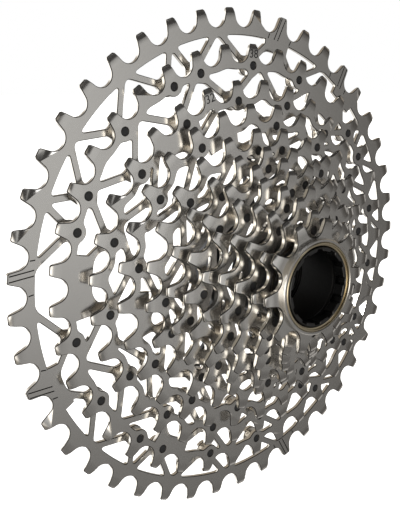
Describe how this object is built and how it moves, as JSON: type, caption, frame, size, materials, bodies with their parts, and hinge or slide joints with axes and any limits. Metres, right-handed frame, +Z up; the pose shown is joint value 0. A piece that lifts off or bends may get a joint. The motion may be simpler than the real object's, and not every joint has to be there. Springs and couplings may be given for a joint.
{
  "type": "cassette sprocket",
  "caption": "Bicycle cassette: a stepped cone of toothed sprockets held apart by riveted pins, on a splined carrier, with a captive lock tube.",
  "frame": {"origin": "on the axle line, at the hub-side end face of the spline carrier, level with the outboard face of the 44-tooth sprocket", "axes": "+Y along the axle towards the hub, so the small sprockets lie towards -Y; +X and +Z across the sprockets, +Z up"},
  "size_m": [0.183, 0.0434, 0.183],
  "materials": {
    "sprocket_nickel": "satin nickel faces with bright cut edges",
    "pin_steel": "polished",
    "bush_bronze": "satin",
    "tube_black": "black anodised, semi-gloss",
    "carrier_alloy": "dark anodised"
  },
  "bodies": {
    "cluster": {"bush_ring": "bush_bronze", "pin_24_01": "pin_steel", "pin_24_02": "pin_steel", "pin_24_03": "pin_steel", "pin_24_04": "pin_steel", "pin_24_05": "pin_steel", "pin_24_06": "pin_steel", "pin_24_07": "pin_steel", "pin_24_08": "pin_steel", "pin_32_01": "pin_steel", "pin_32_02": "pin_steel", "pin_32_03": "pin_steel", "pin_32_04": "pin_steel", "pin_32_05": "pin_steel", "pin_32_06": "pin_steel", "pin_32_07": "pin_steel", "pin_32_08": "pin_steel", "pin_32_09": "pin_steel", "pin_32_10": "pin_steel", "pin_32_11": "pin_steel", "pin_32_12": "pin_steel", "pin_32_13": "pin_steel", "pin_32_14": "pin_steel", "pin_32_15": "pin_steel", "pin_32_16": "pin_steel", "pin_38_01": "pin_steel", "pin_38_02": "pin_steel", "pin_38_03": "pin_steel", "pin_38_04": "pin_steel", "pin_38_05": "pin_steel", "pin_38_06": "pin_steel", "pin_38_07": "pin_steel", "pin_38_08": "pin_steel", "pin_38_09": "pin_steel", "pin_38_10": "pin_steel", "pin_38_11": "pin_steel", "pin_38_12": "pin_steel", "pin_38_13": "pin_steel", "pin_38_14": "pin_steel", "pin_38_15": "pin_steel", "pin_38_16": "pin_steel", "pin_38_17": "pin_steel", "pin_38_18": "pin_steel", "pin_38_19": "pin_steel", "pin_38_20": "pin_steel", "spline_carrier": "carrier_alloy", "sprocket_10": "sprocket_nickel", "sprocket_11": "sprocket_nickel", "sprocket_13": "sprocket_nickel", "sprocket_15": "sprocket_nickel", "sprocket_17": "sprocket_nickel", "sprocket_19": "sprocket_nickel", "sprocket_21": "sprocket_nickel", "sprocket_24": "sprocket_nickel", "sprocket_28": "sprocket_nickel", "sprocket_32": "sprocket_nickel", "sprocket_38": "sprocket_nickel", "sprocket_44": "sprocket_nickel"},
    "lock_tube_body": {"lock_tube": "tube_black"}
  },
  "joints": [
    {"name": "lock_tube_turn", "type": "hinge", "parent": "cluster", "child": "lock_tube_body", "pos_m": [0, -0.0267, 0], "axis": [0, 1, 0], "continuous": true}
  ]
}
